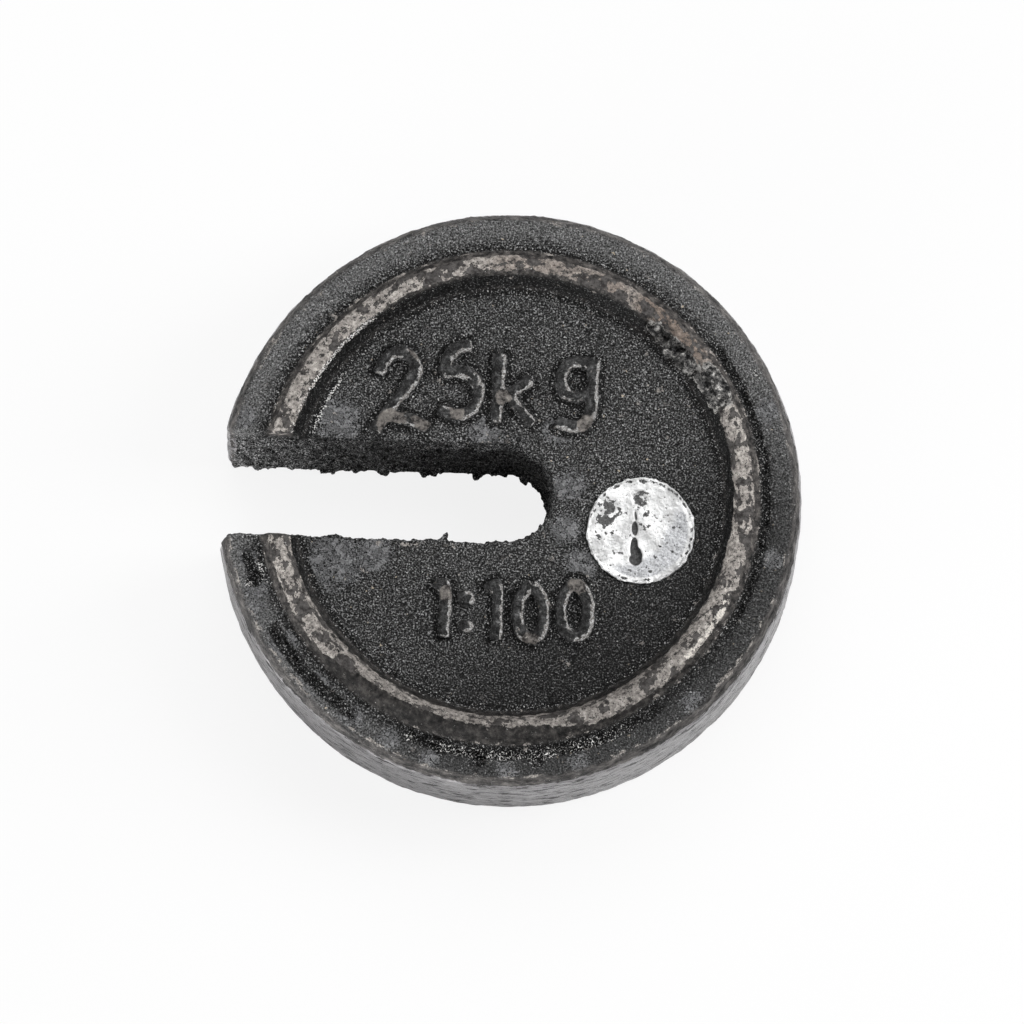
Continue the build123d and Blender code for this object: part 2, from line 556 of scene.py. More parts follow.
def pitted(point):
    """Where the sand burned on and left pits."""
    return banded(PITTED_BANDS, point) * fade(point.z, FIELD - 0.2 * MM, FIELD)


def broken(point):
    """Where the ring has crumbled."""
    return banded(BROKEN_BANDS, point) * fade(point.z, FIELD, FIELD + 0.3 * MM)


def add_group(piece, name, share):
    """A vertex group whose weight at each point comes from its place."""
    group = piece.vertex_groups.new(name=name)
    for vertex in piece.data.vertices:
        weight = share(vertex.co)
        if weight > 0:
            group.add([vertex.index], weight, "REPLACE")


for share in (above_base, in_slot, on_slot_rim, on_face, on_ring, on_side, pitted, broken):
    add_group(casting, share.__name__, share)
print([group.name for group in casting.vertex_groups])

# %% Relief
def relief(piece, region, kind, size, depth, middle=0.5, detail=2):
    """Push a region in and out by a procedural texture; size and depth in millimetres."""
    texture = bpy.data.textures.new(f"{region}_{kind.lower()}", kind)
    texture.noise_scale = size * MM
    if kind == "CLOUDS":
        texture.noise_depth = detail
    apply_modifier(
        piece,
        "DISPLACE",
        texture=texture,
        texture_coords="LOCAL",
        vertex_group=region,
        strength=depth * MM,
        mid_level=middle,
    )


apply_modifier(casting, "SMOOTH", factor=0.5, iterations=22, vertex_group="on_slot_rim")
relief(casting, "above_base", "CLOUDS", size=7.0, depth=0.16)
relief(casting, "above_base", "CLOUDS", size=1.9, depth=0.16)
relief(casting, "in_slot", "CLOUDS", size=1.4, depth=0.9, detail=3)
relief(casting, "in_slot", "CLOUDS", size=0.5, depth=0.6, detail=1)
relief(casting, "on_face", "CLOUDS", size=0.45, depth=0.24)
relief(casting, "on_ring", "CLOUDS", size=2.6, depth=0.30)
relief(casting, "on_ring", "CLOUDS", size=0.7, depth=0.22, detail=3)
relief(casting, "on_side", "CLOUDS", size=0.8, depth=0.12)
relief(casting, "pitted", "CLOUDS", size=0.9, depth=1.5, middle=0.56, detail=3)
relief(casting, "broken", "CLOUDS", size=1.3, depth=1.8, middle=0.56, detail=3)

triangles = sum(len(face.vertices) - 2 for face in casting.data.polygons)
apply_modifier(casting, "DECIMATE", ratio=MOST_TRIANGLES / triangles)
alone(casting)
bpy.ops.object.shade_smooth()
casting.vertex_groups.clear()
triangles = sum(len(face.vertices) - 2 for face in casting.data.polygons)
print("size", [round(v / MM, 2) for v in casting.dimensions])

# %% [markdown]
# ## The sealing plug
#
# The plug is a slug of soft bright metal, hammered into an undercut seat until its rim burred
# over the iron, then struck across with a chisel. It is turned like the disc, remeshed finely,
# cut by two long pointed ellipsoids for the chisel mark and dented by relief.

# %% Turn the plug
PLUG_PROFILE = [
    (SEAT_MOUTH + UNDERCUT, SEAT_FLOOR),
    (SEAT_MOUTH, FIELD - 0.05 * MM),
    (SEAT_MOUTH + 0.10 * MM, FIELD + 0.08 * MM),
    (SEAT_MOUTH + 0.10 * MM, FIELD + 0.26 * MM),
    (SEAT_MOUTH - 0.02 * MM, FIELD + 0.34 * MM),
    (SEAT_MOUTH - 0.16 * MM, FIELD + 0.22 * MM),
    (SEAT_MOUTH - 0.50 * MM, FIELD + 0.20 * MM),
    (3.2 * MM, FIELD + 0.15 * MM),
    (1.2 * MM, FIELD + 0.13 * MM),
]
PLUG_VOXEL = 0.075 * MM
CHISEL_CUTS = [
    (11.95, -2.35, 0.32, 0.75, 0.40, 2),
    (11.93, -4.30, 0.38, 1.10, 0.60, 0),
    (12.18, -4.85, 0.55, 0.80, 0.70, 14),
    (12.10, -5.35, 0.62, 0.60, 0.70, -10),
    (11.98, -1.2, 0.15, 0.75, 0.25, 8),
]
CRATER = (12.35, 0.35, 0.85, 1.0, 0.22, 20)


def add_dent(x, y, half_wide, half_long, deep, turn, level):
    """A flattened ellipsoid that a blow leaves as its print, in millimetres and degrees."""
    bpy.ops.mesh.primitive_uv_sphere_add(segments=48, ring_count=24, radius=MM, location=(x * MM, y * MM, level))
    dent = bpy.context.object
    dent.scale = (half_wide, half_long, deep)
    dent.rotation_euler.z = math.radians(turn)
    bpy.ops.object.transform_apply(location=True, rotation=True, scale=True)
    return dent


plug = turn_profile("sealing_plug_dressed", PLUG_PROFILE, 128)
move_piece(plug, *PLUG_PLACE)
for place in CHISEL_CUTS + [CRATER]:
    cut_away(plug, add_dent(*place, level=FIELD + 0.2 * MM))
apply_modifier(plug, "REMESH", mode="VOXEL", voxel_size=PLUG_VOXEL, adaptivity=0)
apply_modifier(plug, "SMOOTH", factor=0.5, iterations=2)


def hammered_face(point):
    return fade(point.z, FIELD - 0.1 * MM, FIELD + 0.08 * MM)


def crater_floor(point):
    x, y, half_wide, half_long = CRATER[:4]
    away = math.hypot((point.x / MM - x) / half_wide, (point.y / MM - y) / half_long)
    return fade(away, 1.2, 0.8) * hammered_face(point)


def lip(point):
    away = math.hypot(point.x - PLUG_PLACE.x, point.y - PLUG_PLACE.y)
    return fade(away, SEAT_MOUTH - 0.35 * MM, SEAT_MOUTH - 0.1 * MM) * hammered_face(point)


add_group(plug, "hammered_face", hammered_face)
add_group(plug, "lip", lip)
add_group(plug, "crater_floor", crater_floor)
relief(plug, "hammered_face", "CLOUDS", size=1.6, depth=0.16)
relief(plug, "hammered_face", "CLOUDS", size=0.45, depth=0.06)
relief(plug, "crater_floor", "CLOUDS", size=0.25, depth=0.22, detail=3)
relief(plug, "lip", "CLOUDS", size=0.55, depth=0.38, middle=0.55)
alone(plug)
bpy.ops.object.shade_smooth()
plug.vertex_groups.clear()
print("plug", len(plug.data.polygons), "faces", [round(v / MM, 2) for v in plug.dimensions])

# %% [markdown]
# ## Finishes
#
# A finish is a small graph of nodes on one shader. The graph reads Object coordinates, which
# are metres from the disc's axis, so a grain of 0.2 mm stays 0.2 mm. What is worn and where,
# and where light and shade are painted into the colour, comes from painted point attributes,
# because both follow the shape: crests, edges and the tops of the marks lose their paint first,
# and the feet of the ring and of the marks lie in painted shade.

# %% Paint the regions
def paint(piece, name, share):
    """Store a number from 0 to 1 on each point, worked out from its place and its normal."""
    attribute = piece.data.attributes.new(name, "FLOAT", "POINT")
    for vertex, value in zip(piece.data.vertices, attribute.data):
        value.value = min(max(share(vertex.co, vertex.normal), 0.0), 1.0)


def radius_of(point):
    return math.hypot(point.x, point.y)


def angle_of(point):
    """Degrees about the axis, from +X towards +Y, between -180 and 180."""
    return math.degrees(math.atan2(point.y, point.x))


def worn_and_foot_highlight(point, normal):
    """Bare metal on the ring's crest, which the eye meets lower on the near side, and a painted highlight along its
    outer foot.
    """
    radius, angle = radius_of(point), angle_of(point)
    inside = (21.1 + 0.45 * math.sin(math.radians(angle))) * MM
    smeared = fade(angle, -140, -122) * fade(angle, -66, -84)
    outside = (23.15 - 1.1 * smeared) * MM
    crest = fade(radius, inside - 0.12 * MM, inside + 0.2 * MM) * fade(radius, outside + 0.15 * MM, outside - 0.25 * MM)
    # painted highlight: a thin light line along the outer foot, stronger on the far side
    foot = fade(abs(radius - 23.62 * MM), 0.16 * MM, 0.04 * MM) * (0.36 + 0.14 * fade(point.y, -10 * MM, 5 * MM))
    level = fade(point.z, SHOULDER - 0.2 * MM, SHOULDER + 0.2 * MM)
    return max(crest, foot) * level * (1 - 0.8 * broken(point))


def crumbled(point, normal):
    return broken(point)


RUST_BANDS = [
    (36, 60, 22.4, 1.4),
    (62, 96, 22.3, 1.2),
]


def rust(point, normal):
    """Two stretches of the crest that are browner than the rest."""
    return banded(RUST_BANDS, point) * (0.55 + 0.45 * fade(angle_of(point), 75, 55))


def tarnish(point, normal):
    """A stretch of the crest, near the slot, that has darkened again."""
    return banded([(-180, -134, 22.2, 2.0)], point)


def chipped(point, normal):
    """Light chips along the disc's upper edge, most on the near left."""
    edge = fade(abs(radius_of(point) - 26.6 * MM), 0.40 * MM, 0.1 * MM) * fade(point.z, 12.6 * MM, 13.2 * MM)
    return edge * (0.36 + 0.16 * fade(point.y, 6 * MM, -4 * MM) + 0.10 * fade(point.x, 0, -15 * MM))


def rim_chips(point, normal):
    """Grey chips along the near edge of the slot."""
    rim = fade(abs(slot_depth(point) + 0.45 * MM), 0.45 * MM, 0.1 * MM) * fade(point.z, FIELD - 0.4 * MM, FIELD)
    rim *= fade(point.y, 0, -2 * MM) * fade(point.x, -14 * MM, -12 * MM) * fade(point.x, -3 * MM, -5 * MM)
    return rim * 0.6


def ring(point, normal):
    """The raised ring, whose paint has no grain."""
    return on_ring(point)


def flank_inside_shade(point, normal):
    """Painted shade on the ring's inner flank: black where it faces away from the lamps, less so on the near side."""
    near_side = fade(point.y, -6 * MM, -17 * MM)
    return fade(radius_of(point), 21.5 * MM, 21.2 * MM) * on_ring(point) * (1 - 0.75 * near_side)


def ground(point, normal):
    """The drafted side and the mouth's corners, rubbed to grey metal below the rounded edge."""
    wall = fade(radius_of(point), 26.95 * MM, 27.25 * MM) * fade(point.z, 13.1 * MM, 12.3 * MM)
    corner = fade(normal.x, -0.25, -0.6) * fade(point.x, -24.6 * MM, -25.6 * MM) * fade(point.z, 11.6 * MM, 9.5 * MM)
    return max(wall, corner)


def edge_band(point, normal):
    """The rounded upper edge, where the paint is smooth."""
    return fade(radius_of(point), 26.5 * MM, 26.9 * MM)


def foot_shade_to_pale(point, normal):
    """The shoulder's paint, dark at the ring's foot with soot and painted shade, and paler towards the edge."""
    return fade(radius_of(point), 23.9 * MM, 25.8 * MM)


marks = KDTree(len(outline))
for number, point in enumerate(outline):
    marks.insert(point, number)
marks.balance()


def mark_top(point, normal):
    """The strokes' skin, smoother than the field."""
    return fade(point.z, FIELD + 0.30 * MM, FIELD + 0.50 * MM) * fade(radius_of(point), 20.0 * MM, 19.7 * MM)


WORN_STROKES = [
    (-11.3, 6.9, 2.1),
    (-8.2, 7.3, 1.8),
    (-5.2, 8.1, 1.2),
    (-9.0, 13.9, 1.3),
    (-0.8, 9.6, 1.2),
    (7.0, 7.4, 1.3),
    (-5.6, -9.3, 1.2),
    (2.5, -13.6, 1.2),
    (6.6, -8.1, 1.4),
]


def in_spots(spots, point):
    """The share of the nearest of some round spots, each at x and y, with a reach, in millimetres."""
    best = 0
    for x, y, reach in spots:
        away = math.hypot(point.x / MM - x, point.y / MM - y)
        best = max(best, fade(away, reach, reach * 0.3))
    return best


def mark_edge_highlight(point, normal):
    """A painted highlight in a line along one side of a stroke's top; the side changes."""
    line = fade(normal.z, 0.97, 0.88) * fade(point.z, FIELD + 0.34 * MM, FIELD + 0.46 * MM)
    swing = math.sin(0.9 * point.x / MM + 0.5 * point.y / MM) * 0.9
    facing = (math.cos(swing) * normal.x - math.sin(swing + 0.8) * normal.y) / max(math.hypot(normal.x, normal.y), 0.01)
    return mark_top(point, normal) * line * fade(facing, -0.3, 0.5)


def mark_worn(point, normal):
    """Stretches of the marks rubbed to bare metal."""
    return in_spots(WORN_STROKES, point) * mark_top(point, normal)


def dim(point, normal):
    """The field and the shoulder are darker towards the lower right; the ring has painted shade on its near side."""
    face = 0.62 * fade(0.6 * point.x - 0.8 * point.y, 4 * MM, 18 * MM) * on_face(point)
    return max(face, 0.60 * fade(point.y, -10 * MM, -18 * MM) * on_ring(point))


def slot_wall_glints(point, normal):
    """The slot's walls, whose sand grains carry painted glints."""
    return in_slot(point)


def near_marks(point):
    """1 in the corner at the foot of a stroke, 0 half a stroke away."""
    away = marks.find(point)[2]
    return fade(away, 0.9 * MM, 0.3 * MM) * fade(point.z, FIELD + 0.40 * MM, FIELD + 0.25 * MM)


# painted shade in the shoulder's pits
SHADED_PITS = [(x, y, 1.5 * size) for x, y, _, size in SHOULDER_PITS]


def crevice_shade(point, normal):
    """Painted shade, deep black: the foot of the ring, the pits, the slot's edge and the feet of the marks."""
    radius = radius_of(point)
    inner = fade(abs(radius - RING_INNER_FOOT), 0.9 * MM, 0.1 * MM)
    outer = fade(abs(radius - RING_OUTER_FOOT - 0.1 * MM), 0.35 * MM, 0.1 * MM)
    level = fade(point.z, SHOULDER + 0.3 * MM, SHOULDER) * fade(point.z, FIELD - 0.6 * MM, FIELD - 0.3 * MM)
    foot = max(inner, outer) * level
    rim = fade(abs(point.z - FIELD + 0.5 * MM), 0.5 * MM, 0.1 * MM) * in_slot(point)
    return max(rim * 0.9, foot, pitted(point) * 0.70, near_marks(point) * 0.8, in_spots(SHADED_PITS, point))


GLINTS = [
    (127, 154, 21.35, 0.22, 0.78),
    (150, 168, 21.4, 0.18, 0.60),
    (143, 164, 19.6, 0.26, 0.80),
    (27, 30.5, 26.1, 0.35, 0.60),
    (-106, -62, 24.6, 0.8, 0.46),
    (-165, -158, 24.3, 0.4, 0.55),
]
GLINT_SPOTS = [
    (-0.8, -24.6, 0.8),
    (4.4, -24.4, 0.7),
    (-8.6, -23.2, 0.7),
    (-5.5, -23.8, 0.6),
    (-24.2, -9.0, 0.6),
]
# a painted highlight on the crest
CREST_HIGHLIGHTS = [
    (-43, -23, 22.8, 0.50),
]


def glint(point, normal):
    """Strings and clusters of bright grains beside the ring."""
    strings = max(banded([band[:4]], point) * band[4] for band in GLINTS)
    return max(strings, 0.66 * in_spots(GLINT_SPOTS, point))


def crest_highlight(point, normal):
    """A painted highlight on a stretch of the crest."""
    return banded(CREST_HIGHLIGHTS, point) * on_ring(point)


# thick paint patches with a painted sheen
SHEEN_PATCHES = [
    (5.6, 1.6, 2.4),
    (5.4, -2.6, 2.2),
    (7.0, -6.0, 2.4),
    (-16.5, -6.4, 4.2),
    (-12.5, -5.6, 2.6),
    (-16.2, 7.2, 3.2),
    (-23.4, -9.6, 1.9),
    (-20.5, -14.5, 1.8),
    (-2.4, 6.9, 2.6),
    (4.5, 6.8, 2.2),
    (-25.0, 6.8, 1.6),
    (-23.5, -11.3, 1.7),
    (-24.4, -6.4, 1.3),
    (-21.2, -14.8, 1.8),
    (-17.6, -18.4, 2.0),
    (-14.2, -21.3, 2.0),
    (-10.4, -23.5, 1.7),
    (-6.6, -25.3, 1.4),
    (0.6, -26.0, 1.4),
    (7.5, -25.2, 1.6),
    (18.0, -19.0, 1.8),
    (24.0, 9.0, 2.0),
    (25.0, -5.0, 1.6),
]


def smooth_patch_sheen(point, normal):
    """Where thicker paint fills the grain, in a few places on the face, with a painted sheen."""
    return in_spots(SHEEN_PATCHES, point)


PAINTED = (
    worn_and_foot_highlight, crumbled, rust, tarnish, chipped, rim_chips, ring, flank_inside_shade, ground, edge_band, foot_shade_to_pale, dim,
    slot_wall_glints, mark_top, mark_edge_highlight, mark_worn, crevice_shade, glint, crest_highlight, smooth_patch_sheen,
)
for share in PAINTED:
    paint(casting, share.__name__, share)
print([attribute.name for attribute in casting.data.attributes])

# %% Node helpers
class Finish:
    """A material whose nodes are added one by one, each with its inputs by name."""

    def __init__(self, name):
        self.material = bpy.data.materials.new(name)
        self.material.use_nodes = True
        self.tree = self.material.node_tree
        self.shader = self.tree.nodes["Principled BSDF"]
        self.place = self.add("TexCoord").outputs["Object"]

    def add(self, kind, settings=None, **inputs):
        node = self.tree.nodes.new("ShaderNode" + kind)
        for name, value in (settings or {}).items():
            setattr(node, name, value)
        for name, value in inputs.items():
            self.set(node, name.replace("_", " "), value)
        return node

    def set(self, node, name, value):
        socket = node.inputs[int(name)] if name.isdigit() else node.inputs[name]
        if isinstance(value, bpy.types.NodeSocket):
            self.tree.links.new(value, socket)
        else:
            socket.default_value = value

    def noise(self, size, detail=2.0, roughness=0.5, place=None, stretch=None):
        """Noise with grains of a size in millimetres; stretch divides the scale along each axis."""
        where = place or self.place
        if stretch:
            where = self.add("Mapping", Vector=where, Scale=[1 / s for s in stretch]).outputs[0]
        node = self.add("TexNoise", Vector=where, Scale=1 / (size * MM), Detail=detail, Roughness=roughness)
        return node.outputs["Fac"]

    def around(self):
        """Distance from the axis, arc length round the disc and height, for streaks that follow it."""
        x, y, z = self.add("SeparateXYZ", Vector=self.place).outputs
        squares = self.math("ADD", self.math("MULTIPLY", x, x), self.math("MULTIPLY", y, y))
        arc = self.math("MULTIPLY", self.math("ARCTAN2", y, x), 25 * MM)
        return self.add("CombineXYZ", X=self.math("SQRT", squares), Y=arc, Z=z).outputs[0]

    def painted(self, name):
        return self.add("Attribute", {"attribute_name": name}).outputs["Fac"]

    def math(self, operation, first, second=0.0):
        node = self.add("Math", {"operation": operation})
        self.set(node, "0", first)
        self.set(node, "1", second)
        return node.outputs[0]

    def between(self, value, low, high):
        """0 below low, 1 above high, smooth between."""
        node = self.add("MapRange", {"interpolation_type": "SMOOTHSTEP"}, Value=value)
        self.set(node, "From Min", low)
        self.set(node, "From Max", high)
        return node.outputs[0]

    def above(self, share, noise, spread, low, high):
        """Where a painted share, broken up by noise, rises from low to high."""
        rough = self.math("MULTIPLY", self.math("SUBTRACT", noise, 0.5), spread)
        return self.between(self.math("ADD", share, rough), low, high)

    def ramp(self, value, *stops):
        """A colour for each (position, colour) stop."""
        node = self.add("ValToRGB", Fac=value)
        while len(node.color_ramp.elements) < len(stops):
            node.color_ramp.elements.new(0.5)
        for element, (position, colour) in zip(node.color_ramp.elements, stops):
            element.position = position
            element.color = (*colour, 1)
        return node.outputs[0]

    def mix(self, share, low, high):
        """Mix two colours, each a socket or three numbers."""
        low, high = [(*c, 1) if isinstance(c, tuple) else c for c in (low, high)]
        node = self.add("Mix", {"data_type": "RGBA"})
        self.set(node, "0", share)
        self.set(node, "6", low)
        self.set(node, "7", high)
        return node.outputs[2]

    def blend(self, share, low, high):
        """Mix two numbers."""
        node = self.add("Mix", {"data_type": "FLOAT"})
        self.set(node, "0", share)
        self.set(node, "2", low)
        self.set(node, "3", high)
        return node.outputs[0]

    def bump(self, height, depth, before=None):
        """Bump of a depth in millimetres, added to an earlier bump."""
        node = self.add("Bump", Height=height, Distance=depth * MM)
        if before:
            self.set(node, "Normal", before)
        return node.outputs[0]


def grey(level, warmth=0.0):
    return (level * (1 + warmth), level, level * (1 - warmth))


# %% [markdown]
# ### Black iron
#
# The field is sand-cast iron under thin black paint. Close to, it is a carpet of grains about
# 0.2 mm across that glint in the light. Bump gives little of that, so most of its look is
# painted into the colour: painted shade in the pits and painted glints on the grains. Thick paint
# fills the grain in patches, with a painted sheen. The worn crest shows blotches of warm grey
# metal with black left in the pits, and the side is rubbed in fine streaks round the disc.

# %% Iron finish
BLACK = grey(0.002)
WARM_BLACK = (0.030, 0.027, 0.026)
WARM_GREY = (0.160, 0.148, 0.138)
WARM_LIGHT = (0.43, 0.402, 0.375)
BROWN = (0.185, 0.130, 0.100)
BEIGE = (0.50, 0.43, 0.34)


def sand_grain_and_glints(iron, grain, coarse):
    """Thin paint over sand grain, in a dark and in a paler tone, with painted shade in the pits and painted glints on
    the grains.
    """
    dark = iron.ramp(
        grain,
        (0.37, BLACK),
        (0.45, grey(0.013)),
        (0.50, grey(0.034)),
        (0.56, grey(0.085)),
        (0.63, grey(0.26)),
        (0.71, grey(0.7)),
    )
    light = iron.ramp(
        grain,
        (0.35, grey(0.013)),
        (0.42, grey(0.063)),
        (0.50, grey(0.119)),
        (0.58, grey(0.190)),
        (0.66, grey(0.36)),
        (0.74, grey(0.7)),
    )
    # soot and painted shade at the ring's foot, fading to paler paint towards the edge
    share = iron.math("ADD", iron.painted("foot_shade_to_pale"), iron.math("SUBTRACT", coarse, 0.5))
    face = iron.mix(iron.between(share, 0.0, 1.0), dark, light)
    crumb = iron.noise(0.5, detail=1.0)
    face = iron.mix(iron.between(crumb, 0.765, 0.79), face, BEIGE)
    # darker towards the lower right
    return iron.mix(iron.painted("dim"), face, BLACK), light


def flaked_paint_sheen(iron, light):
    """Thicker paint that half fills the grain, grey from a painted sheen, with thin crooked cracks."""
    crack = iron.noise(0.55, detail=3.0)
    lines = iron.math("ABSOLUTE", iron.math("SUBTRACT", crack, 0.5))
    flake = iron.mix(iron.between(crack, 0.40, 0.62), (0.125, 0.126, 0.131), (0.280, 0.282, 0.290))
    return iron.mix(iron.between(lines, 0.024, 0.010), iron.mix(0.4, flake, light), BLACK)


def core_sand_and_glints(iron, grain, coarse):
    """The slot's walls: painted shade in the pits and painted glints on the grains, in layers."""
    layers = iron.noise(0.35, detail=3.0, roughness=0.7, stretch=(6, 6, 1))
    wall = iron.ramp(
        grain,
        (0.42, BLACK),
        (0.49, grey(0.045)),
        (0.56, grey(0.16)),
        (0.61, grey(0.45)),
        (0.67, grey(0.70)),
    )
    return iron.mix(iron.between(layers, 0.50, 0.40), wall, iron.mix(0.7, wall, BLACK))


def bare_metal(iron, grain, around):
    """Worn iron: lumpy warm grey in crisp patches among dark patina, browner with rust in places."""
    patina = iron.noise(1.1, detail=5.0, roughness=0.6, place=around, stretch=(1, 1.6, 1))
    patina = iron.math("SUBTRACT", patina, iron.math("MULTIPLY", iron.painted("tarnish"), 0.055))
    lumps = iron.noise(0.42, detail=4.0, roughness=0.65)
    light = iron.ramp(
        lumps,
        (0.31, WARM_BLACK),
        (0.39, (0.205, 0.189, 0.176)),
        (0.48, (0.313, 0.289, 0.268)),
        (0.58, (0.443, 0.413, 0.382)),
        (0.70, (0.648, 0.608, 0.567)),
    )
    light = iron.mix(iron.between(grain, 0.42, 0.36), light, WARM_BLACK)
    dark = iron.ramp(lumps, (0.36, WARM_BLACK), (0.48, (0.066, 0.062, 0.060)), (0.66, (0.125, 0.117, 0.112)))
    brown = iron.ramp(lumps, (0.34, WARM_BLACK), (0.46, (0.120, 0.090, 0.072)), (0.64, (0.215, 0.160, 0.125)))
    light = iron.mix(iron.math("MULTIPLY", iron.painted("rust"), 0.8), light, brown)
    edge = iron.math("ABSOLUTE", iron.math("SUBTRACT", patina, 0.462))
    light = iron.mix(iron.between(edge, 0.016, 0.006), light, WARM_BLACK)
    return iron.mix(iron.between(patina, 0.455, 0.468), dark, light)


def crumbled_iron(iron, grain, coarse):
    """Broken iron: small crisp facets from black to light grey, with a few bright specks."""
    tone = iron.ramp(
        coarse,
        (0.405, BLACK),
        (0.420, grey(0.022)),
        (0.475, grey(0.034)),
        (0.490, (0.090, 0.088, 0.086)),
        (0.555, (0.110, 0.107, 0.104)),
        (0.570, (0.230, 0.225, 0.216)),
        (0.615, (0.280, 0.272, 0.260)),
        (0.635, (0.640, 0.625, 0.600)),
    )
    return iron.mix(iron.between(grain, 0.42, 0.37), tone, BLACK)


def rubbed_side(iron, around):
    """The drafted side: dark iron scored round the disc, and how much its high places shine."""
    score = iron.noise(0.55, detail=4.0, roughness=0.72, place=around, stretch=(1, 4, 1))
    colour = iron.ramp(
        score,
        (0.34, (0.015, 0.014, 0.015)),
        (0.42, (0.110, 0.104, 0.109)),
        (0.50, (0.210, 0.201, 0.208)),
        (0.64, (0.370, 0.357, 0.367)),
    )
    dash = iron.noise(0.7, detail=2.0, roughness=0.6, place=around, stretch=(1, 3, 1))
    pit = iron.between(dash, 0.405, 0.390)
    shine = iron.math("MULTIPLY", iron.between(score, 0.36, 0.48), iron.math("SUBTRACT", 1.0, pit))
    return iron.mix(pit, colour, WARM_BLACK), score, shine


def painted_marks(iron, face, grain, coarse, blotch):
    """The marks: a dark skin, a painted highlight in a thin line along one side and stretches of bare metal."""
    top = iron.painted("mark_top")
    skin = iron.ramp(coarse, (0.38, grey(0.006)), (0.50, grey(0.032)), (0.60, grey(0.085)), (0.72, grey(0.26)))
    face = iron.mix(iron.math("MULTIPLY", top, 0.85), face, skin)
    # painted highlight along one side of each stroke's top
    rubbed = iron.ramp(grain, (0.38, WARM_GREY), (0.50, (0.28, 0.27, 0.26)), (0.62, grey(0.66)))
    face = iron.mix(iron.above(iron.painted("mark_edge_highlight"), coarse, 2.6, 0.50, 0.80), face, rubbed)
    metal = iron.ramp(coarse, (0.40, WARM_BLACK), (0.50, WARM_GREY), (0.60, (0.25, 0.232, 0.212)), (0.72, WARM_LIGHT))
    return iron.mix(iron.above(iron.painted("mark_worn"), blotch, 2.0, 0.42, 0.56), face, metal)


